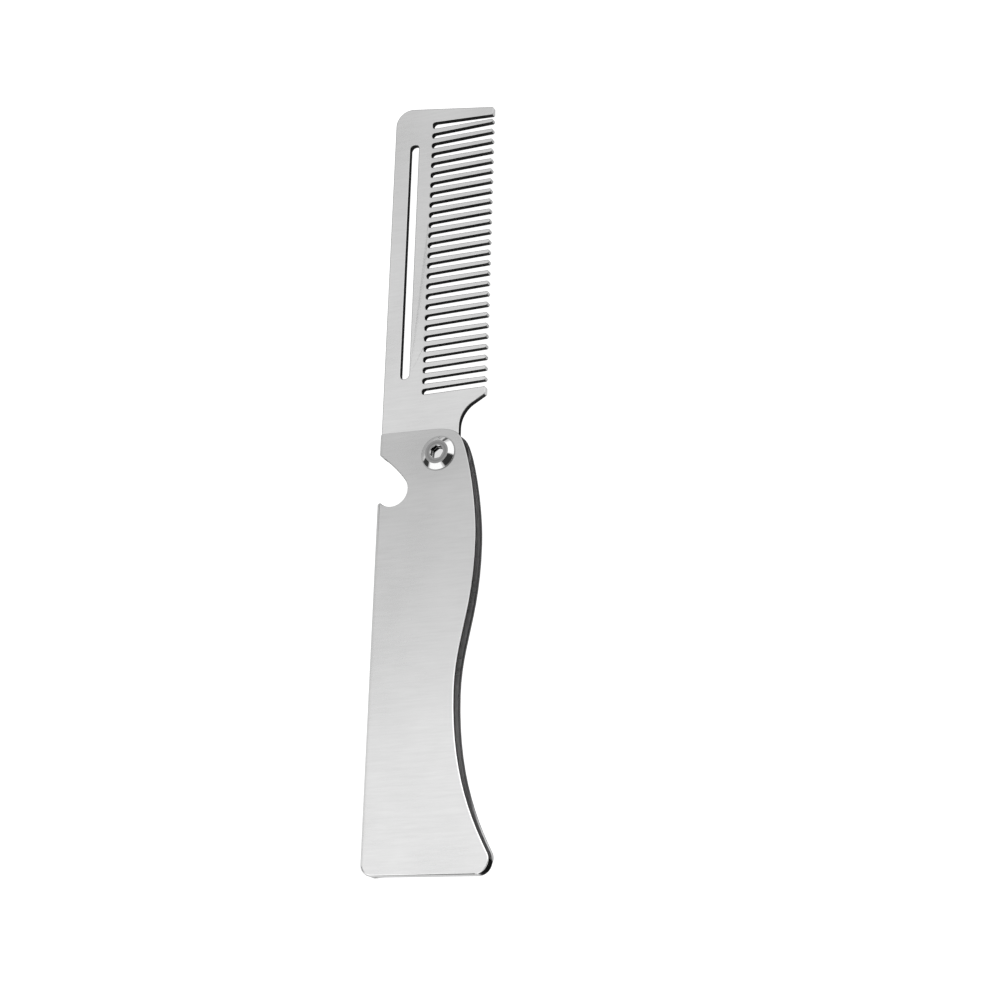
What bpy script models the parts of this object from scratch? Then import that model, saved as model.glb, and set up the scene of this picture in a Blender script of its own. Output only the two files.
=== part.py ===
"""Folding beard comb in stainless steel: a flat blade turns on a pivot screw and closes into a folded handle.

The frame: the pivot's axis is +Z at the origin, +Z points out of the front plate, +Y runs along the open comb
towards the blade's free end, and +X points to the side of the teeth. Z = 0 is the flat end of the nut's head,
which the comb rests on. Each piece is modelled about the middle plane of the blade and of the handle, and then
lifted to its place. The comb is modelled open, which is the blade at 0 degrees. Seen from the front, it closes
clockwise by 180 degrees.
"""

import math

import bmesh
import bpy
from mathutils import Vector

MM = 0.001

# Overall
SPINE_X = -16.10 * MM  # one straight line: the outer face of the handle's fold and the back of the blade
BLADE_TOP_Y = 98.35 * MM
HANDLE_END_Y = -101.50 * MM

# Sheet, blade and washers, which stack up along Z
SHEET = 0.90 * MM
BLADE_THICK = 1.60 * MM
WASHER_THICK = 0.50 * MM
STACK_GAP = 0.05 * MM
CHANNEL_HALF = BLADE_THICK / 2 + WASHER_THICK + 2 * STACK_GAP
HANDLE_HALF = CHANNEL_HALF + SHEET

# Handle
FOLD_RADIUS = 1.50 * MM
END_FOLD_RADIUS = 0.30 * MM
INNER_FOLD_RADIUS = 0.50 * MM
END_CORNER_RADIUS = 3.10 * MM
HANDLE_TOP_LEFT_Y = 7.10 * MM
HANDLE_TOP_RIGHT = (-3.00 * MM, 6.65 * MM)
HANDLE_TOP_PULL = (1.50 * MM, 6.60 * MM)
SHOULDER = (5.82 * MM, 3.47 * MM)
SHOULDER_LEAN = (1.39 * MM, -2.58 * MM)
SHOULDER_PULL = 1.6
BELLY = (10.32 * MM, -22.60 * MM)
BELLY_PULLS = (8.30 * MM, 18.40 * MM)  # how far the curve keeps to the lengthways line, above and below
WAIST = (6.02 * MM, -59.40 * MM)
WAIST_PULLS = (12.60 * MM, 16.80 * MM)
FLARE = (14.92 * MM, -96.30 * MM)
FLARE_LEAN = (0.471, -0.882)
FLARE_PULL = 10.40 * MM
FLARE_CORNER_RADIUS = 3.20 * MM

# The handle's end: the front plate is folded back as a flange, and the rear plate stops behind it
END_SLOPE = -0.03
FLANGE_DEPTH = 2.80 * MM
FLANGE_LAST_DEG = 5.0  # how far the flange wraps round the flare's corner
FLANGE_SLOT_HIGH_Y = -97.00 * MM
REAR_END_Y = -100.50 * MM
REAR_END_SLOPE = 0.03
REAR_CORNER_RADIUS = 2.50 * MM

# Bottle-opener notch, cut through the fold
NOTCH_CENTRE = (-12.00 * MM, -8.10 * MM)
NOTCH_RADIUS = 4.15 * MM
NOTCH_FIRST_DEG = 38.0
NOTCH_LAST_DEG = -135.0
NOTCH_FLANK_TOP_Y = 1.75 * MM
NOTCH_FLANK_PULLS = ((-13.50 * MM, 0.00), (-10.15 * MM, -3.50 * MM))
NOTCH_LIP_Y = -10.90 * MM

# Comb blade
TOP_SLOPE = -0.163
BLADE_CORNER_RADIUS = 4.20 * MM
TIP_X = 11.15 * MM
ROOT_X = -5.75 * MM
GAP_COUNT = 27
GAP_WIDTH = 1.50 * MM
FIRST_GAP_Y = 92.21 * MM
GUARD_LOW_Y = 93.32 * MM  # the first gap is wider than the others, up to here
TOOTH_PITCH = 2.872 * MM
TOOTH_TIP_HALF = 0.48 * MM
GUARD_TIP_LOW_Y = 92.45 * MM
GUARD_ROUND = 0.45 * MM
NECK_TIP_Y = 14.90 * MM
NECK_CENTRE = (11.50 * MM, 7.00 * MM)
NECK_RADIUS = 7.00 * MM
NECK_FIRST_DEG = 125.0
SLOT_X = -10.58 * MM
SLOT_WIDTH = 2.45 * MM
SLOT_LOW_Y = 21.62 * MM
SLOT_HIGH_Y = 87.60 * MM

# Tang, the hidden end of the blade between the two plates
TANG_RADIUS = 6.55 * MM
TANG_LAST_DEG = -170.0
TANG_LEFT_X = -14.50 * MM
TANG_LEFT_LOW_Y = 4.60 * MM
STOP_GAP = 0.15 * MM  # between the blade's shoulder and the top end of the fold, its stop when open

# Pivot
POST_RADIUS = 2.50 * MM
RUNNING_CLEARANCE = 0.05 * MM
THREAD_RADIUS = 2.00 * MM
HEAD_BASE_RADIUS = 4.25 * MM
HEAD_FLAT_RADIUS = 3.00 * MM
HEAD_HEIGHT = 1.10 * MM
HEAD_RIM = 0.15 * MM
POST_END_Z = HANDLE_HALF - 0.20 * MM
BORE_FLOOR_Z = -HANDLE_HALF + 0.20 * MM
SHANK_END_Z = BORE_FLOOR_Z + 0.30 * MM
MIDDLE_Z = HANDLE_HALF + STACK_GAP + HEAD_HEIGHT  # the middle plane's height above the plane under the comb
HEX_ACROSS_FLATS = 3.00 * MM
HEX_DEPTH = 1.30 * MM
SOCKET_MOUTH_RADIUS = 1.77 * MM
SOCKET_FLOOR_RADIUS = 1.40 * MM
SOCKET_MOUTH_DEPTH = 0.16 * MM
WASHER_RADIUS = 5.00 * MM

ROUND_SEGMENTS = 48
ARC_STEP = math.radians(9.0)
FINE_STEP = math.radians(6.0)
SLOT_STEP = math.radians(15.0)
GAP_STEP = math.radians(22.5)
TIP_STEP = math.radians(30.0)
CURVE_STEPS = 12
SHORT_CURVE_STEPS = 8
CORNER_STEPS = 8
BEND_STEPS = 6
FAR = 60.0 * MM  # how far a cutter reaches past the piece it cuts
CUTTER_MARGIN = 0.10 * MM


# ---------------------------------------------------------------- outlines


def arc(centre, radius, start_deg, end_deg, step=ARC_STEP):
    """Points on a circle from one angle to another, both included."""
    start = math.radians(start_deg)
    sweep = math.radians(end_deg) - start
    count = max(2, math.ceil(abs(sweep) / step))
    angles = [start + sweep * i / count for i in range(count + 1)]
    return [(centre[0] + radius * math.cos(a), centre[1] + radius * math.sin(a)) for a in angles]


def bezier(p0, p1, p2, p3, count):
    """Points on a cubic curve, leaving out its first point."""
    points = []
    for i in range(1, count + 1):
        t = i / count
        u = 1 - t
        weights = (u**3, 3 * u * u * t, 3 * u * t * t, t**3)
        points.append(tuple(sum(w * p[axis] for w, p in zip(weights, (p0, p1, p2, p3))) for axis in (0, 1)))
    return points


def corner_circle(before, corner, after, radius):
    """The circle that rounds a corner between two straight lines: centre, first angle and last angle."""
    corner = Vector(corner)
    back = (Vector(before) - corner).normalized()
    ahead = (Vector(after) - corner).normalized()
    half = back.angle(ahead) / 2
    centre = corner + (back + ahead).normalized() * (radius / math.sin(half))
    start = corner + back * (radius / math.tan(half)) - centre
    end = corner + ahead * (radius / math.tan(half)) - centre
    turn = math.atan2(start.x * end.y - start.y * end.x, start.dot(end))
    first = math.atan2(start.y, start.x)
    return centre, math.degrees(first), math.degrees(first + turn)


def rounded_corner(before, corner, after, radius):
    centre, first, last = corner_circle(before, corner, after, radius)
    return arc(centre, radius, first, last)


def end_line(middle_y, slope, x):
    """The height along Y, at x, of a line across the handle's end."""
    return middle_y + slope * x


def flare_circle(middle_y, slope, radius):
    """The circle that rounds the corner between the flare's straight stretch and a line across the end."""
    to_end = (end_line(middle_y, slope, FLARE[0]) - FLARE[1]) / (FLARE_LEAN[1] - slope * FLARE_LEAN[0])
    corner = (FLARE[0] + to_end * FLARE_LEAN[0], FLARE[1] + to_end * FLARE_LEAN[1])
    return corner_circle(FLARE, corner, (0, middle_y), radius)


def grip_curve():
    """The handle's open side, from the end of the straight top edge down to the flare: full, then waisted."""
    before_shoulder = (SHOULDER[0] - SHOULDER_LEAN[0], SHOULDER[1] - SHOULDER_LEAN[1])
    after_shoulder = tuple(at + SHOULDER_PULL * lean for at, lean in zip(SHOULDER, SHOULDER_LEAN))
    above_belly = (BELLY[0], BELLY[1] + BELLY_PULLS[0])
    below_belly = (BELLY[0], BELLY[1] - BELLY_PULLS[1])
    above_waist = (WAIST[0], WAIST[1] + WAIST_PULLS[0])
    below_waist = (WAIST[0], WAIST[1] - WAIST_PULLS[1])
    before_flare = (FLARE[0] - FLARE_PULL * FLARE_LEAN[0], FLARE[1] - FLARE_PULL * FLARE_LEAN[1])
    points = [HANDLE_TOP_RIGHT]
    points += bezier(HANDLE_TOP_RIGHT, HANDLE_TOP_PULL, before_shoulder, SHOULDER, SHORT_CURVE_STEPS)
    points += bezier(SHOULDER, after_shoulder, above_belly, BELLY, CURVE_STEPS)
    points += bezier(BELLY, below_belly, above_waist, WAIST, CURVE_STEPS)
    points += bezier(WAIST, below_waist, before_flare, FLARE, CURVE_STEPS)
    centre, first, last = flare_circle(HANDLE_END_Y, END_SLOPE, FLARE_CORNER_RADIUS)
    return points + arc(centre, FLARE_CORNER_RADIUS, first, last)


def notch_outline():
    """The bottle-opener notch: a long upper flank, a round bottom and a short hooked lip."""
    hollow = arc(NOTCH_CENTRE, NOTCH_RADIUS, NOTCH_FIRST_DEG, NOTCH_LAST_DEG)
    flank_start = (SPINE_X, NOTCH_FLANK_TOP_Y)
    flank = bezier(flank_start, *NOTCH_FLANK_PULLS, hollow[0], SHORT_CURVE_STEPS)
    return [flank_start] + flank[:-1] + hollow + [(SPINE_X, NOTCH_LIP_Y)]


def handle_outline():
    """The handle's plan, clockwise. Past the two folds it runs on, because the folded block ends there."""
    beyond_left = SPINE_X - FAR
    beyond_end = HANDLE_END_Y - FAR
    grip = grip_curve()
    end_of_flare = grip[-1]
    points = [(beyond_left, HANDLE_TOP_LEFT_Y), (SPINE_X, HANDLE_TOP_LEFT_Y)] + grip
    points += [(end_of_flare[0], beyond_end), (beyond_left, beyond_end)]
    points += [(beyond_left, NOTCH_LIP_Y)] + notch_outline()[::-1] + [(beyond_left, NOTCH_FLANK_TOP_Y)]
    return points


def gap_floor(high_y, low_y):
    """The round floor of a gap, between its upper and its lower wall."""
    radius = (high_y - low_y) / 2
    return arc((ROOT_X + radius, low_y + radius), radius, 90, 270, GAP_STEP)


def tooth_tip(gap_low_y):
    """The round tip of the tooth under a gap."""
    tooth_y = gap_low_y - (TOOTH_PITCH - GAP_WIDTH) / 2
    return arc((TIP_X - TOOTH_TIP_HALF, tooth_y), TOOTH_TIP_HALF, 90, -90, TIP_STEP)


def comb_outline():
    """The blade's plan, clockwise from the shoulder that stops it: back, free end, teeth, neck and tang."""
    shoulder_y = HANDLE_TOP_LEFT_Y + STOP_GAP
    corner_y = BLADE_TOP_Y + BLADE_CORNER_RADIUS * (math.sqrt(1 + TOP_SLOPE**2) - 1 - TOP_SLOPE)
    tip_top = (TIP_X, corner_y + TOP_SLOPE * (TIP_X - SPINE_X))
    tip_low = (TIP_X, GUARD_TIP_LOW_Y)
    points = [(SPINE_X, shoulder_y)]
    points += rounded_corner((SPINE_X, 0), (SPINE_X, corner_y), tip_top, BLADE_CORNER_RADIUS)
    points += rounded_corner(points[-1], tip_top, tip_low, GUARD_ROUND)
    points += rounded_corner(tip_top, tip_low, (ROOT_X, GUARD_LOW_Y), GUARD_ROUND)
    gap_lows = [FIRST_GAP_Y - GAP_WIDTH / 2 - gap * TOOTH_PITCH for gap in range(GAP_COUNT)]
    gap_highs = [GUARD_LOW_Y] + [low + GAP_WIDTH for low in gap_lows[1:]]
    for high_y, low_y in zip(gap_highs, gap_lows):
        points += gap_floor(high_y, low_y)
        if low_y != gap_lows[-1]:
            points += tooth_tip(low_y)
    guard_top = (TIP_X, gap_lows[-1])
    guard_low = (TIP_X, NECK_TIP_Y)
    neck = arc(NECK_CENTRE, NECK_RADIUS, NECK_FIRST_DEG, 180, FINE_STEP)
    points += rounded_corner(points[-1], guard_top, guard_low, GUARD_ROUND)
    points += rounded_corner(guard_top, guard_low, neck[0], GUARD_ROUND)
    points += neck
    tang_start = math.degrees(math.acos(neck[-1][0] / TANG_RADIUS))
    points += arc((0, 0), TANG_RADIUS, tang_start, TANG_LAST_DEG, FINE_STEP)
    points += [(TANG_LEFT_X, TANG_LEFT_LOW_Y), (TANG_LEFT_X, shoulder_y)]
    return points


def slot_outline():
    radius = SLOT_WIDTH / 2
    upper = arc((SLOT_X, SLOT_HIGH_Y - radius), radius, 180, 0, SLOT_STEP)
    lower = arc((SLOT_X, SLOT_LOW_Y + radius), radius, 0, -180, SLOT_STEP)
    return upper + lower


# ---------------------------------------------------------------- solids


def new_object(name, mesh):
    obj = bpy.data.objects.new(name, mesh)
    bpy.context.scene.collection.objects.link(obj)
    return obj


def mesh_from_rings(name, rings, cap_start=True, cap_end=True, closed_loop=False):
    """A closed mesh from rings of points that all have the same count. A ring of one point is a pole."""
    bm = bmesh.new()
    made = [[bm.verts.new(p) for p in ring] for ring in rings]
    pairs = list(zip(made[:-1], made[1:]))
    if closed_loop:
        pairs.append((made[-1], made[0]))
    for low, high in pairs:
        count = max(len(low), len(high))
        for i in range(count):
            j = (i + 1) % count
            corners = [low[i % len(low)], low[j % len(low)], high[j % len(high)], high[i % len(high)]]
            face = list(dict.fromkeys(corners))
            bm.faces.new(face)
    if not closed_loop and cap_start and len(made[0]) > 1:
        bm.faces.new(made[0])
    if not closed_loop and cap_end and len(made[-1]) > 1:
        bm.faces.new(made[-1])
    bmesh.ops.recalc_face_normals(bm, faces=bm.faces)
    mesh = bpy.data.meshes.new(name)
    bm.to_mesh(mesh)
    bm.free()
    return new_object(name, mesh)


def prism(name, outline, low, high):
    """An outline in X and Y carried from one height to another."""
    clean = [p for i, p in enumerate(outline) if (Vector(p) - Vector(outline[i - 1])).length > 1e-6]
    return mesh_from_rings(name, [[(x, y, z) for x, y in clean] for z in (low, high)])


def turned(name, profile, closed_loop=False, segments=ROUND_SEGMENTS):
    """A profile of (radius, height) points turned about Z. It ends on the axis, or closes on itself."""
    rings = []
    for radius, z in profile:
        if radius == 0:
            rings.append([(0, 0, z)])
            continue
        angles = [2 * math.pi * i / segments for i in range(segments)]
        rings.append([(radius * math.cos(a), radius * math.sin(a), z) for a in angles])
    return mesh_from_rings(name, rings, closed_loop=closed_loop)


def combine(obj, other, operation):
    """Applies one exact Boolean to obj and removes the other object."""
    modifier = obj.modifiers.new(operation.lower(), "BOOLEAN")
    modifier.operation = operation
    modifier.solver = "EXACT"
    modifier.object = other
    graph = bpy.context.evaluated_depsgraph_get()
    result = bpy.data.meshes.new_from_object(obj.evaluated_get(graph))
    obj.modifiers.remove(modifier)
    spent = [obj.data, other.data]
    obj.data = result
    bpy.data.objects.remove(other)
    for mesh in spent:
        bpy.data.meshes.remove(mesh)
    return obj


def finished(obj, material):
    """Puts a piece in its place, names its mesh, gives it its material and shades its round faces smooth."""
    obj.location.z = MIDDLE_Z
    obj.data.name = obj.name
    obj.data.materials.clear()
    obj.data.materials.append(material)
    obj.data.shade_smooth()
    obj.data.set_sharp_from_angle(angle=math.radians(25))
    return obj


# ---------------------------------------------------------------- materials


def metal(name, colour, roughness):
    material = bpy.data.materials.new(name)
    material.use_nodes = True
    shader = material.node_tree.nodes["Principled BSDF"]
    shader.inputs["Base Color"].default_value = (*colour, 1)
    shader.inputs["Metallic"].default_value = 1.0
    shader.inputs["Roughness"].default_value = roughness
    return material


def plastic(name, colour, roughness):
    material = metal(name, colour, roughness)
    material.node_tree.nodes["Principled BSDF"].inputs["Metallic"].default_value = 0.0
    return material


# ---------------------------------------------------------------- pieces


def folded_block():
    """A block with the folds' outer rounding: along the spine, round the end's corner and along the end."""
    slant = math.atan(END_SLOPE)
    centre_x = SPINE_X + END_CORNER_RADIUS
    centre_y = end_line(HANDLE_END_Y, END_SLOPE, centre_x) + END_CORNER_RADIUS / math.cos(slant)
    rows = [((FAR, FAR), (0, 0), FOLD_RADIUS), ((SPINE_X, FAR), (1, 0), FOLD_RADIUS)]
    for i in range(CORNER_STEPS + 1):
        share = i / CORNER_STEPS
        angle = math.pi + (math.pi / 2 + slant) * share
        inward = (-math.cos(angle), -math.sin(angle))
        point = (centre_x - END_CORNER_RADIUS * inward[0], centre_y - END_CORNER_RADIUS * inward[1])
        rows.append((point, inward, FOLD_RADIUS + (END_FOLD_RADIUS - FOLD_RADIUS) * share))
    beyond_end = (FAR, end_line(HANDLE_END_Y, END_SLOPE, FAR))
    rows.append((beyond_end, rows[-1][1], END_FOLD_RADIUS))
    front = []
    for i in range(BEND_STEPS + 1):
        bend = math.pi / 2 * i / BEND_STEPS
        ring = []
        for (x, y), (in_x, in_y), radius in rows:
            inset = radius * (1 - math.sin(bend))
            drop = radius * (1 - math.cos(bend))
            ring.append((x + in_x * inset, y + in_y * inset, HANDLE_HALF - drop))
        front.append(ring)
    rear = [[(x, y, -z) for x, y, z in ring] for ring in reversed(front)]
    return mesh_from_rings("handle_shell", front + rear)


def channel_cutter():
    """The hollow between the plates, with the fold's inner rounding and the flange's inner side."""
    left = SPINE_X + SHEET
    section = []
    for i in range(BEND_STEPS + 1):
        bend = math.pi / 2 * i / BEND_STEPS
        inset = INNER_FOLD_RADIUS * (1 - math.sin(bend))
        section.append((left + inset, CHANNEL_HALF - INNER_FOLD_RADIUS * (1 - math.cos(bend))))
    section += [(x, -z) for x, z in reversed(section)]
    section += [(FAR, -CHANNEL_HALF), (FAR, CHANNEL_HALF)]
    end_ring = [(x, end_line(HANDLE_END_Y + SHEET, END_SLOPE, x), z) for x, z in section]
    channel = mesh_from_rings("channel", [end_ring, [(x, FAR, z) for x, z in section]])
    centre, first, last = flare_circle(HANDLE_END_Y, END_SLOPE, FLARE_CORNER_RADIUS)
    inner = arc(centre, FLARE_CORNER_RADIUS - SHEET, FLANGE_LAST_DEG, last)
    beyond = arc(centre, FAR, FLANGE_LAST_DEG, last)[0]
    reach = [beyond] + inner + [(inner[-1][0], -3 * FAR), (-FAR, -3 * FAR)]
    reach += [(-FAR, 2 * FAR), (beyond[0], 2 * FAR)]
    return combine(channel, prism("reach", reach, -FAR, FAR), "INTERSECT")


def rear_end_cutter():
    """What the rear plate and the spine leave free behind the flange."""
    centre, first, last = flare_circle(REAR_END_Y, REAR_END_SLOPE, REAR_CORNER_RADIUS)
    beyond = arc(centre, FAR, first, last)[0]
    plan = [beyond] + arc(centre, REAR_CORNER_RADIUS, first, last)
    plan += [(-FAR, end_line(REAR_END_Y, REAR_END_SLOPE, -FAR)), (-FAR, -3 * FAR), (beyond[0], -3 * FAR)]
    return prism("rear_end", plan, -FAR, HANDLE_HALF - FLANGE_DEPTH)


def flange_slot():
    """The slot between the flange's free edge and the rear plate, out to the open side."""
    left = SPINE_X + END_CORNER_RADIUS
    plan = [(left, -3 * FAR), (FAR, -3 * FAR), (FAR, FLANGE_SLOT_HIGH_Y), (left, FLANGE_SLOT_HIGH_Y)]
    return prism("flange_slot", plan, -CHANNEL_HALF, HANDLE_HALF - FLANGE_DEPTH)


def make_handle(material):
    shell = folded_block()
    combine(shell, prism("plan", handle_outline(), -FAR, FAR), "INTERSECT")
    combine(shell, channel_cutter(), "DIFFERENCE")
    combine(shell, rear_end_cutter(), "DIFFERENCE")
    combine(shell, flange_slot(), "DIFFERENCE")
    combine(shell, turned("pivot_hole", drill(POST_RADIUS + RUNNING_CLEARANCE)), "DIFFERENCE")
    return finished(shell, material)


def drill(radius):
    """The profile of a cutter for a hole through everything."""
    return [(0, FAR), (radius, FAR), (radius, -FAR), (0, -FAR)]


def make_blade(material):
    blade = prism("comb_blade", comb_outline(), -BLADE_THICK / 2, BLADE_THICK / 2)
    combine(blade, prism("slot", slot_outline(), -FAR, FAR), "DIFFERENCE")
    combine(blade, turned("tang_hole", drill(POST_RADIUS + RUNNING_CLEARANCE)), "DIFFERENCE")
    return finished(blade, material)


def make_screw(material):
    """The front half of the pivot: a bevelled flat head with a hexagon socket, and a shank for the nut."""
    base = HANDLE_HALF + STACK_GAP
    top = base + HEAD_HEIGHT
    shank = THREAD_RADIUS - RUNNING_CLEARANCE
    screw = turned(
        "pivot_screw",
        [
            (0, top),
            (HEAD_FLAT_RADIUS, top),
            (HEAD_BASE_RADIUS, base + HEAD_RIM),
            (HEAD_BASE_RADIUS, base),
            (shank, base),
            (shank, SHANK_END_Z + HEAD_RIM),
            (shank - HEAD_RIM, SHANK_END_Z),
            (0, SHANK_END_Z),
        ],
    )
    hexagon = arc((0, 0), HEX_ACROSS_FLATS / math.sqrt(3), 0, 300, math.radians(60))
    combine(screw, prism("hexagon", hexagon, top - HEX_DEPTH, top + FAR), "DIFFERENCE")
    slope = (SOCKET_MOUTH_RADIUS - SOCKET_FLOOR_RADIUS) / SOCKET_MOUTH_DEPTH
    mouth = turned(
        "mouth",
        [
            (0, top + CUTTER_MARGIN),
            (SOCKET_MOUTH_RADIUS + slope * CUTTER_MARGIN, top + CUTTER_MARGIN),
            (SOCKET_FLOOR_RADIUS, top - SOCKET_MOUTH_DEPTH),
            (0, top - SOCKET_MOUTH_DEPTH),
        ],
    )
    combine(screw, mouth, "DIFFERENCE")
    return finished(screw, material)


def make_nut(material):
    """The rear half of the pivot: the same head, and the barrel that carries both plates and the blade."""
    base = -HANDLE_HALF - STACK_GAP
    nut = turned(
        "pivot_nut",
        [
            (0, BORE_FLOOR_Z),
            (THREAD_RADIUS, BORE_FLOOR_Z),
            (THREAD_RADIUS, POST_END_Z),
            (POST_RADIUS, POST_END_Z),
            (POST_RADIUS, base),
            (HEAD_BASE_RADIUS, base),
            (HEAD_BASE_RADIUS, base - HEAD_RIM),
            (HEAD_FLAT_RADIUS, base - HEAD_HEIGHT),
            (0, base - HEAD_HEIGHT),
        ],
    )
    return finished(nut, material)


def make_washer(name, low, material):
    inner = POST_RADIUS + RUNNING_CLEARANCE
    high = low + WASHER_THICK
    profile = [(inner, high), (WASHER_RADIUS, high), (WASHER_RADIUS, low), (inner, low)]
    return finished(turned(name, profile, closed_loop=True), material)


def main():
    for obj in list(bpy.data.objects):
        bpy.data.objects.remove(obj)
    brushed = metal("brushed_steel", (0.70, 0.70, 0.70), 0.34)
    blade_steel = metal("blade_steel", (0.72, 0.72, 0.72), 0.30)
    polished = metal("polished_steel", (0.80, 0.80, 0.80), 0.10)
    nylon = plastic("nylon", (0.86, 0.85, 0.80), 0.50)
    make_handle(brushed)
    make_blade(blade_steel)
    make_screw(polished)
    make_nut(polished)
    face = BLADE_THICK / 2 + STACK_GAP
    make_washer("front_washer", face, nylon)
    make_washer("rear_washer", -face - WASHER_THICK, nylon)


main()
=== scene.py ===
"""The looks of the folding beard comb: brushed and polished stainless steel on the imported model's own nodes.

Units are metres. The frame is the model's: the pivot's axis is +Z at the origin, +Y runs to the blade's free end and +X
points to the side of the teeth.
"""

import math

import bpy
from mathutils import Matrix, Vector


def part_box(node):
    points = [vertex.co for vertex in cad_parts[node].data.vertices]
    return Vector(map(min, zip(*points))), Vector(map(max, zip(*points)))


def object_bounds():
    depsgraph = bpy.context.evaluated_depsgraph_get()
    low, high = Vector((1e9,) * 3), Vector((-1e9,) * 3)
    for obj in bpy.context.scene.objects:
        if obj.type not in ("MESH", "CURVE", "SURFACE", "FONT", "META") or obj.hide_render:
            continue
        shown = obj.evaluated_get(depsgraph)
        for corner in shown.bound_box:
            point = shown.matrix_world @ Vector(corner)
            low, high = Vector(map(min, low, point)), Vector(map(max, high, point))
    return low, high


MM = 0.001

# Camera: where it looks, from which side and how high, and how far it is rolled about its own axis
CAMERA_TARGET = Vector((15.68, -13.28, 3.45)) * MM
CAMERA_DISTANCE = 484.8 * MM
CAMERA_AZIMUTH = math.radians(45.25)
CAMERA_ELEVATION = math.radians(60.12)
CAMERA_ROLL = math.radians(1.46)
CAMERA_VIEW = math.radians(27.49)

# Edge rounding of each piece
SHEET_EDGE = 0.30 * MM
BLADE_EDGE = 0.18 * MM
TURNED_EDGE = 0.06 * MM
WASHER_EDGE = 0.05 * MM

TABLE_GLOW = 0.70
RING_SHADE = 0.75
SOCKET_RADIUS = 1.80 * MM
TENT_GREY = 0.85
CUT_GLANCE = 0.5  # how much of a glancing reflection the cut edges keep


# ---------------------------------------------------------------- shader helpers


def add(tree, kind, values=None, **settings):
    """Adds a node, sets its properties, and gives its inputs either values or links from other nodes' outputs."""
    node = tree.nodes.new(kind)
    for name, value in settings.items():
        setattr(node, name, value)
    for name, value in (values or {}).items():
        socket = node.inputs[name]
        if isinstance(value, bpy.types.NodeSocket):
            tree.links.new(value, socket)
        else:
            socket.default_value = value
    return node


def maths(tree, operation, *values):
    return add(tree, "ShaderNodeMath", dict(enumerate(values)), operation=operation).outputs[0]


def ramp(tree, value, low, high, to_low, to_high):
    """A smooth step from one value to another as the input goes from low to high."""
    values = {"Value": value, "From Min": low, "From Max": high, "To Min": to_low, "To Max": to_high}
    return add(tree, "ShaderNodeMapRange", values, interpolation_type="SMOOTHSTEP").outputs[0]


def grey(tree, value):
    return add(tree, "ShaderNodeCombineColor", {"Red": value, "Green": value, "Blue": value}).outputs[0]


def noise(tree, place, scale, stretch, detail=3.0, roughness=0.55):
    """Noise between 0 and 1, with its features stretched along the axes."""
    mapping = add(tree, "ShaderNodeMapping", {"Vector": place, "Scale": stretch})
    values = {"Vector": mapping.outputs[0], "Scale": scale, "Detail": detail, "Roughness": roughness}
    return add(tree, "ShaderNodeTexNoise", values).outputs["Fac"]


def around_one(tree, value, spread):
    """Turns noise between 0 and 1 into a factor about 1."""
    return maths(tree, "MULTIPLY_ADD", value, spread, 1 - spread / 2)


def new_material(name):
    material = bpy.data.materials.new(name)
    material.use_nodes = True
    tree = material.node_tree
    shader = tree.nodes["Principled BSDF"]
    place = add(tree, "ShaderNodeTexCoord").outputs["Object"]
    return material, tree, shader, place


def piece_normal(tree):
    """The face's own normal in the piece's axes, so that it turns with the piece."""
    true_normal = add(tree, "ShaderNodeNewGeometry").outputs["True Normal"]
    turned = add(
        tree,
        "ShaderNodeVectorTransform",
        {"Vector": true_normal},
        vector_type="NORMAL",
        convert_from="WORLD",
        convert_to="OBJECT",
    )
    return add(tree, "ShaderNodeSeparateXYZ", {"Vector": turned.outputs[0]})


def piece_direction(tree, direction):
    """A direction in the piece's axes, turned into the world's."""
    turned = add(
        tree,
        "ShaderNodeVectorTransform",
        {"Vector": direction},
        vector_type="VECTOR",
        convert_from="OBJECT",
        convert_to="WORLD",
    )
    return turned.outputs[0]


# ---------------------------------------------------------------- materials


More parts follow.
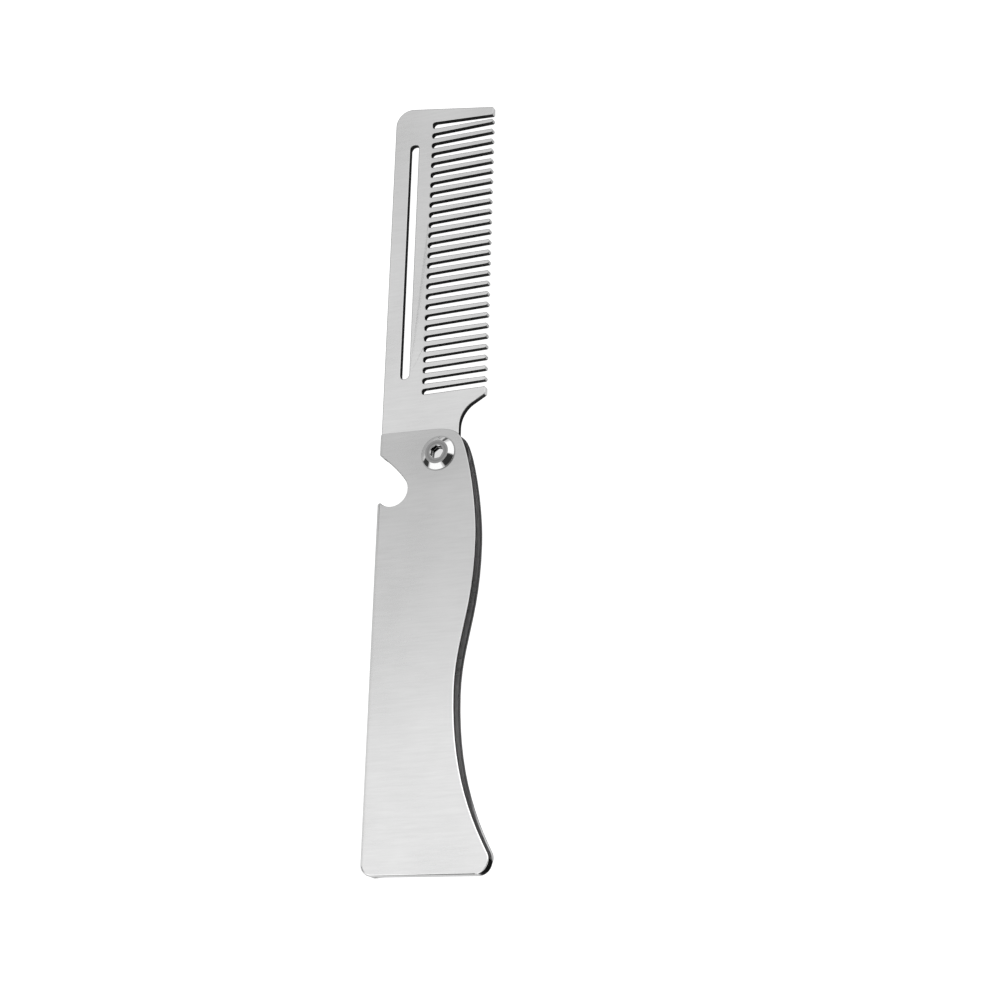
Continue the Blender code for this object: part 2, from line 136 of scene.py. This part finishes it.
def brushed_steel(name, greys, span_y, cut_edge_painted_grey, sheet_surface_or_tip_mask, light_and_shade_paint):
    """Stainless sheet with a short, fine grain across the piece.

    The flat faces go from one grey to the other along span_y, a painted shading of how the light falls along the piece,
    and the piece's painted shade and highlights are multiplied in. The walls are cut edges, rougher and painted darker
    as the shade and dark reflections they show, except where a mask says that the sheet's own surface goes round, or
    marks the ends of the teeth, which get the faces' pale grey as a painted reflection.
    """
    material, tree, shader, place = new_material(name)
    axes = add(tree, "ShaderNodeSeparateXYZ", {"Vector": place})
    normal = piece_normal(tree)

    scratches = noise(tree, place, 1.0, (240, 7000, 900), 2.0, 0.7)
    strokes = noise(tree, place, 1.0, (120, 1500, 300), 4.0, 0.65)
    clouds = noise(tree, place, 1.0, (60, 50, 50), 3.0, 0.5)
    # Painted shading: the faces' grey falls from one value to the other along span_y, as the light falls along the
    # piece.
    flat = ramp(tree, axes.outputs["Y"], *span_y, *greys)
    shade = maths(tree, "MULTIPLY", around_one(tree, strokes, 0.16), around_one(tree, clouds, 0.20))
    shade = maths(tree, "MULTIPLY", shade, around_one(tree, scratches, 0.08))
    # The piece's painted shade and highlights are multiplied in.
    shade = maths(tree, "MULTIPLY", shade, light_and_shade_paint(tree, axes, normal))
    face_grey = maths(tree, "MULTIPLY", flat, shade)

    facing = maths(tree, "ABSOLUTE", normal.outputs["Z"])
    sheet_or_bright_tip = ramp(tree, facing, 0.30, 0.60, 0.0, 1.0)
    # On the blade the mask also takes in the teeth's ends, whose pale grey is a painted reflection.
    sheet_or_bright_tip = maths(tree, "MAXIMUM", sheet_or_bright_tip, sheet_surface_or_tip_mask(tree, axes, normal))
    tint = add(tree, "ShaderNodeMix", {"Factor": sheet_or_bright_tip, "A": cut_edge_painted_grey(tree, axes), "B": face_grey})
    face_rough = maths(tree, "MULTIPLY_ADD", clouds, 0.10, 0.20)
    face_rough = maths(tree, "MULTIPLY_ADD", scratches, 0.08, face_rough)
    rough = add(tree, "ShaderNodeMix", {"Factor": sheet_or_bright_tip, "A": 0.42, "B": face_rough})

    bump = add(tree, "ShaderNodeBump", {"Height": scratches, "Strength": 0.05, "Distance": 0.00002})
    glancing = maths(tree, "MULTIPLY_ADD", sheet_or_bright_tip, 1 - CUT_GLANCE, CUT_GLANCE)
    tree.links.new(grey(tree, tint.outputs[0]), shader.inputs["Base Color"])
    tree.links.new(grey(tree, glancing), shader.inputs["Specular Tint"])
    tree.links.new(rough.outputs[0], shader.inputs["Roughness"])
    tree.links.new(bump.outputs[0], shader.inputs["Normal"])
    tree.links.new(piece_direction(tree, (1, 0, 0)), shader.inputs["Tangent"])
    shader.inputs["Metallic"].default_value = 1.0
    shader.inputs["Anisotropic"].default_value = 0.5
    return material


def folded_sides(tree, axes, normal):
    """Where the handle's sheet goes round: the fold along its back, and the flange across its end."""
    back = ramp(tree, axes.outputs["X"], handle_low.x + 1.4 * MM, handle_low.x + 1.8 * MM, 1.0, 0.0)
    faces_end = ramp(tree, normal.outputs["Y"], -0.995, -0.93, 1.0, 0.0)
    at_end = ramp(tree, axes.outputs["Y"], handle_low.y + 1.5 * MM, handle_low.y + 1.7 * MM, 1.0, 0.0)
    in_front = ramp(tree, axes.outputs["Z"], handle_middle_z - 0.6 * MM, handle_middle_z - 0.4 * MM, 0.0, 1.0)
    flange = maths(tree, "MULTIPLY", maths(tree, "MULTIPLY", faces_end, at_end), in_front)
    return maths(tree, "MAXIMUM", back, flange)


def handle_cut_edge_shade(tree, axes):
    """The handle's cut edges, painted with shade and reflection: near black on the front plate as painted shade, paler
    on the rear one and palest at its flare as a painted reflection of the pale table.
    """
    rear = ramp(tree, axes.outputs["Y"], handle_low.y + 9 * MM, handle_low.y + 20 * MM, 0.60, 0.13)
    front = ramp(tree, axes.outputs["Y"], handle_low.y + 3 * MM, handle_low.y + 6 * MM, 0.006, 0.025)
    in_front = ramp(tree, axes.outputs["Z"], handle_middle_z - 0.6 * MM, handle_middle_z - 0.4 * MM, 0.0, 1.0)
    return add(tree, "ShaderNodeMix", {"Factor": in_front, "A": rear, "B": front}).outputs[0]


def blade_cut_edge_shade(tree, axes):
    """The walls of the teeth and of the slot, painted near black as the shade they reflect from under the blade, and a
    little paler towards their free ends as a painted reflection.
    """
    return ramp(tree, axes.outputs["X"], blade_high.x - 4 * MM, blade_high.x, 0.018, 0.04)


def handle_painted_light(tree, axes, normal):
    """Painted light and shade on the handle: a painted contact shadow as a dark line round the pivot's heads, painted
    shade inside the channel at the flare and painted light inside it towards the pivot, a painted highlight on the rims
    at the flare, and a painted reflection on the rear plate's rim, pale at the flare and near black towards the pivot.
    The steel is also a little darker near the heads.
    """
    away = off_axis(tree, axes)
    # Painted contact shadow: a dark line round the pivot's heads. The steel is also a little darker out to about 11 mm
    # from the axis.
    inner = ramp(tree, away, screw_high.x - 0.05 * MM, screw_high.x, 1.0, RING_SHADE)
    outer = ramp(tree, away, screw_high.x + 0.12 * MM, screw_high.x + 0.30 * MM, 0.0, 1.0)
    near = maths(tree, "MULTIPLY", maths(tree, "MAXIMUM", inner, outer), ramp(tree, away, 5 * MM, 11 * MM, 0.96, 1.0))
    # Painted shade and light inside the channel: darker at the flare, brighter towards the pivot.
    depth = maths(tree, "ABSOLUTE", maths(tree, "SUBTRACT", axes.outputs["Z"], handle_middle_z))
    outside = ramp(tree, depth, 1.55 * MM, 1.75 * MM, 0.0, 1.0)
    inside_grey = ramp(tree, axes.outputs["Y"], handle_low.y + 8 * MM, handle_low.y + 45 * MM, 0.75, 1.30)
    # Painted highlight on the rims that face the teeth's side, brightest at the flare.
    rim = ramp(tree, normal.outputs["X"], 0.10, 0.20, 0.0, 1.0)
    rim_grey = ramp(tree, axes.outputs["Y"], -40 * MM, -32 * MM, 1.35, 0.95)
    outside_grey = add(tree, "ShaderNodeMix", {"Factor": rim, "A": 1.0, "B": rim_grey}).outputs[0]
    side = add(tree, "ShaderNodeMix", {"Factor": outside, "A": inside_grey, "B": outside_grey}).outputs[0]
    # Painted reflection and shade on the rear plate's rim: pale at the flare, near black towards the pivot.
    rear = ramp(tree, axes.outputs["Z"], handle_middle_z - 1.95 * MM, handle_middle_z - 1.75 * MM, 0.0, 1.0)
    rear = maths(tree, "MULTIPLY", rear, ramp(tree, axes.outputs["Z"], handle_middle_z, handle_middle_z + MM, 1.0, 0.0))
    lip_grey = ramp(tree, axes.outputs["Y"], handle_low.y + 9 * MM, handle_low.y + 20 * MM, 0.60, 0.08)
    lip = maths(tree, "MULTIPLY", rear, rim)
    side = add(tree, "ShaderNodeMix", {"Factor": lip, "A": side, "B": lip_grey}).outputs[0]
    return maths(tree, "MULTIPLY", near, side)


def blade_painted_shade(tree, axes, normal):
    """Painted shade: the thin dark line of the edges that turn away from the light, along the back and on top of each
    tooth.
    """
    turned_away = maths(tree, "MAXIMUM", maths(tree, "MULTIPLY", normal.outputs["X"], -1.0), normal.outputs["Y"])
    return ramp(tree, turned_away, 0.15, 0.30, 1.0, 0.20)


def tips_painted_bright(tree, axes, normal):
    """The ends of the teeth: they take the faces' smoother steel and pale grey in place of the dark cut-edge grey, a
    painted reflection of the pale table beyond them.
    """
    return ramp(tree, axes.outputs["X"], blade_high.x - 0.35 * MM, blade_high.x - 0.15 * MM, 0.0, 1.0)


def off_axis(tree, axes):
    """The distance from the pivot's axis."""
    squares = [maths(tree, "MULTIPLY", axes.outputs[axis], axes.outputs[axis]) for axis in ("X", "Y")]
    return maths(tree, "SQRT", maths(tree, "ADD", *squares))


def turned_steel(name, face_grey, side_grey):
    """Polished steel, turned on a lathe: fine rings on the flat end, bright on the cone and the rim. The flat end's
    darker grey is painted shade, and the hex socket has painted shade on its walls and painted highlights on its
    chamfer and its floor.
    """
    material, tree, shader, place = new_material(name)
    normal = piece_normal(tree)
    axes = add(tree, "ShaderNodeSeparateXYZ", {"Vector": place})
    away = off_axis(tree, axes)
    rings = add(
        tree,
        "ShaderNodeTexNoise",
        {"W": maths(tree, "MULTIPLY", away, 2400.0), "Scale": 1.0, "Detail": 2.0},
        noise_dimensions="1D",
    ).outputs["Fac"]
    specks = noise(tree, place, 2500.0, (1, 1, 1), 2.0)
    facing = maths(tree, "ABSOLUTE", normal.outputs["Z"])
    height = maths(tree, "ABSOLUTE", maths(tree, "SUBTRACT", axes.outputs["Z"], handle_middle_z))
    end_height = screw_high.z - handle_middle_z
    at_end = ramp(tree, height, end_height - 0.3 * MM, end_height - 0.2 * MM, 0.0, 1.0)
    is_end = maths(tree, "MULTIPLY", ramp(tree, facing, 0.90, 0.98, 0.0, 1.0), at_end)
    # Painted shade: the flat end gets the darker of the two greys.
    end_grey = maths(tree, "MULTIPLY", face_grey, around_one(tree, rings, 1.1))
    # Painted light and shade in the hex socket: near black walls as painted shade, a painted glint on the chamfer where
    # it faces down or right, and a bright painted floor.
    in_socket = ramp(tree, away, SOCKET_RADIUS - 0.02 * MM, SOCKET_RADIUS, 1.0, 0.0)
    faces_down = ramp(tree, normal.outputs["Y"], -0.37, -0.28, 1.0, 0.0)
    faces_right = ramp(tree, normal.outputs["X"], 0.26, 0.34, 0.0, 1.0)
    painted_glint = maths(tree, "MULTIPLY_ADD", maths(tree, "MAXIMUM", faces_down, faces_right), 0.45, 0.40)
    mouth_grey = add(tree, "ShaderNodeMix", {"Factor": ramp(tree, facing, 0.3, 0.8, 0.0, 1.0), "A": 0.07, "B": painted_glint})
    floor_grey = ramp(tree, facing, 0.95, 0.98, 0.0, 0.75)
    socket_grey = maths(tree, "MAXIMUM", mouth_grey.outputs[0], floor_grey)
    smooth_grey = add(tree, "ShaderNodeMix", {"Factor": in_socket, "A": side_grey, "B": socket_grey}).outputs[0]
    mixed = add(tree, "ShaderNodeMix", {"Factor": is_end, "A": smooth_grey, "B": end_grey})
    end_rough = maths(tree, "MULTIPLY_ADD", rings, 0.12, 0.24)
    side_rough = maths(tree, "MULTIPLY_ADD", specks, 0.08, 0.06)
    rough = add(tree, "ShaderNodeMix", {"Factor": is_end, "A": side_rough, "B": end_rough})
    bump = add(tree, "ShaderNodeBump", {"Height": rings, "Strength": 0.08, "Distance": 0.00002})
    glancing = maths(tree, "MULTIPLY_ADD", in_socket, CUT_GLANCE - 1, 1.0)
    tree.links.new(grey(tree, mixed.outputs[0]), shader.inputs["Base Color"])
    tree.links.new(grey(tree, glancing), shader.inputs["Specular Tint"])
    tree.links.new(rough.outputs[0], shader.inputs["Roughness"])
    tree.links.new(bump.outputs[0], shader.inputs["Normal"])
    shader.inputs["Metallic"].default_value = 1.0
    return material


def nylon():
    """Natural nylon for the two washers."""
    material, tree, shader, place = new_material("nylon")
    mottle = noise(tree, place, 900.0, (1, 1, 1))
    colour = add(
        tree,
        "ShaderNodeMix",
        {"Factor": mottle, "A": (0.70, 0.68, 0.60, 1), "B": (0.84, 0.82, 0.75, 1)},
        data_type="RGBA",
    )
    bump = add(tree, "ShaderNodeBump", {"Height": mottle, "Strength": 0.1, "Distance": 0.00002})
    tree.links.new(colour.outputs[2], shader.inputs["Base Color"])
    tree.links.new(bump.outputs[0], shader.inputs["Normal"])
    shader.inputs["Roughness"].default_value = 0.5
    return material


def floor_material():
    """A pale backlit shooting table, brighter towards the camera. It is open to a camera below it."""
    material, tree, shader, place = new_material("pale_table")
    tree.nodes.remove(shader)
    behind = add(tree, "ShaderNodeNewGeometry").outputs["Backfacing"]
    seen = add(tree, "ShaderNodeLightPath").outputs["Is Camera Ray"]
    mottle = noise(tree, place, 300.0, (1, 1, 1))
    matt = add(tree, "ShaderNodeBsdfDiffuse", {"Color": grey(tree, maths(tree, "MULTIPLY_ADD", mottle, 0.01, 0.20))})
    glow = add(tree, "ShaderNodeEmission", {"Strength": maths(tree, "MAXIMUM", seen, TABLE_GLOW)})
    table = add(tree, "ShaderNodeAddShader", {0: matt.outputs[0], 1: glow.outputs[0]})
    clear = add(tree, "ShaderNodeBsdfTransparent")
    both = add(tree, "ShaderNodeMixShader", {0: behind, 1: table.outputs[0], 2: clear.outputs[0]})
    tree.links.new(both.outputs[0], tree.nodes["Material Output"].inputs["Surface"])
    return material


# ---------------------------------------------------------------- pieces


def round_edges(obj, width, segments):
    """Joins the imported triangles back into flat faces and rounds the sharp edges."""
    weld = obj.modifiers.new("weld", "WELD")
    weld.merge_threshold = 0.000001
    dissolve = obj.modifiers.new("flat_faces", "DECIMATE")
    dissolve.decimate_type = "DISSOLVE"
    dissolve.angle_limit = math.radians(0.5)
    bevel = obj.modifiers.new("edges", "BEVEL")
    bevel.width = width
    bevel.segments = segments
    bevel.limit_method = "ANGLE"
    bevel.angle_limit = math.radians(20)
    bevel.use_clamp_overlap = False
    bevel.miter_outer = "MITER_ARC"
    weighted = obj.modifiers.new("normals", "WEIGHTED_NORMAL")
    weighted.keep_sharp = True
    weighted.weight = 100


def finish_node(name, material, edge, segments=2):
    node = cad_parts[name]
    node.data.materials.clear()
    node.data.materials.append(material)
    node.data.shade_smooth()
    round_edges(node, edge, segments)


# ---------------------------------------------------------------- stage


def make_floor(height):
    side = 6.0
    mesh = bpy.data.meshes.new("floor")
    corners = [(-side, -side), (side, -side), (side, side), (-side, side)]
    mesh.from_pydata([(x, y, height) for x, y in corners], [], [(0, 1, 2, 3)])
    mesh.materials.append(floor_material())
    floor = bpy.data.objects.new("floor", mesh)
    bpy.context.scene.collection.objects.link(floor)


def lobe(tree, direction, towards, inner_deg, outer_deg, outside, inside):
    """A soft round patch of the world, with one value inside and another outside."""
    axis = Vector(towards).normalized()
    product = add(tree, "ShaderNodeVectorMath", {0: direction, 1: axis}, operation="DOT_PRODUCT").outputs["Value"]
    low = math.cos(math.radians(outer_deg))
    high = math.cos(math.radians(inner_deg))
    return ramp(tree, product, low, high, outside, inside)


def make_light():
    """An even white tent with bright boxes at the right and at the front, and the dark of the camera's own side."""
    world = bpy.data.worlds.new("tent")
    bpy.context.scene.world = world
    world.use_nodes = True
    tree = world.node_tree
    direction = add(tree, "ShaderNodeTexCoord").outputs["Generated"]
    seen = add(tree, "ShaderNodeLightPath").outputs["Is Camera Ray"]
    total = TENT_GREY
    bright = [
        ((-0.354, 0.351, 0.867), 30, 55, 1 - TENT_GREY),
        ((0.55, 0.62, 0.56), 27, 36, 0.6),
        ((-0.46, -0.67, 0.58), 26, 33, 0.6),
    ]
    for towards, inner, outer, strength in bright:
        total = maths(tree, "ADD", total, lobe(tree, direction, towards, inner, outer, 0.0, strength))
    dark = [((0.55, -0.34, 0.76), 26, 32, 0.05), ((-0.97, -0.12, 0.17), 12, 18, 0.06), ((0.0, 0.99, 0.12), 3, 7, 0.12)]
    for towards, inner, outer, share in dark:
        total = maths(tree, "MULTIPLY", total, lobe(tree, direction, towards, inner, outer, 1.0, share))
    shown = add(tree, "ShaderNodeMix", {"Factor": seen, "A": total, "B": 1.0}).outputs[0]
    tree.links.new(grey(tree, shown), tree.nodes["Background"].inputs["Color"])


def make_camera():
    camera = bpy.data.objects.new("camera", bpy.data.cameras.new("camera"))
    bpy.context.scene.collection.objects.link(camera)
    level = math.cos(CAMERA_ELEVATION)
    back = Vector((math.sin(CAMERA_AZIMUTH) * level, -math.cos(CAMERA_AZIMUTH) * level, math.sin(CAMERA_ELEVATION)))
    along = Vector((0, 1, 0))
    up = (along - along.dot(back) * back).normalized()
    right = up.cross(back)
    upright = Matrix((right, up, back)).transposed()
    roll = Matrix.Rotation(CAMERA_ROLL, 3, "Z")
    camera.matrix_world = Matrix.Translation(CAMERA_TARGET + back * CAMERA_DISTANCE) @ (upright @ roll).to_4x4()
    camera.data.angle = CAMERA_VIEW
    camera.data.clip_start = 0.01
    bpy.context.scene.camera = camera


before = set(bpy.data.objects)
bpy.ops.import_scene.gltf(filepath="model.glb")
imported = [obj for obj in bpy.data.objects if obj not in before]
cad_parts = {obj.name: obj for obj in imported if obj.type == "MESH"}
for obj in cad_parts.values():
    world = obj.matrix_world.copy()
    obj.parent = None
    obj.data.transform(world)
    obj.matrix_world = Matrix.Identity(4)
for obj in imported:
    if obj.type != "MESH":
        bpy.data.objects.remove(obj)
cad_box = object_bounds()

handle_low, handle_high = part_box("handle_shell")
blade_low, blade_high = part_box("comb_blade")
handle_middle_z = (handle_low.z + handle_high.z) / 2
screw_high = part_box("pivot_screw")[1]
# The faces' greys fall along Y as painted shading: the handle darker towards the pivot, the blade darker towards its
# free end.
handle_greys, handle_span = (0.785, 0.51), (handle_low.y, 5 * MM)
blade_greys, blade_span = (0.655, 0.56), (0.0, blade_high.y)
handle_steel = brushed_steel("handle_steel", handle_greys, handle_span, handle_cut_edge_shade, folded_sides, handle_painted_light)
blade_steel = brushed_steel("blade_steel", blade_greys, blade_span, blade_cut_edge_shade, tips_painted_bright, blade_painted_shade)
# The flat end's grey (0.26) below the cone's (0.68) is painted shade.
pivot_steel = turned_steel("pivot_steel", 0.26, 0.68)
washer_nylon = nylon()

finish_node("handle_shell", handle_steel, SHEET_EDGE, segments=3)
finish_node("comb_blade", blade_steel, BLADE_EDGE)
finish_node("pivot_screw", pivot_steel, TURNED_EDGE)
finish_node("pivot_nut", pivot_steel, TURNED_EDGE)
for washer in ("front_washer", "rear_washer"):
    finish_node(washer, washer_nylon, WASHER_EDGE)

make_floor(cad_box[0].z - 0.02 * MM)
make_light()
make_camera()
bpy.context.scene.view_settings.view_transform = "Standard"
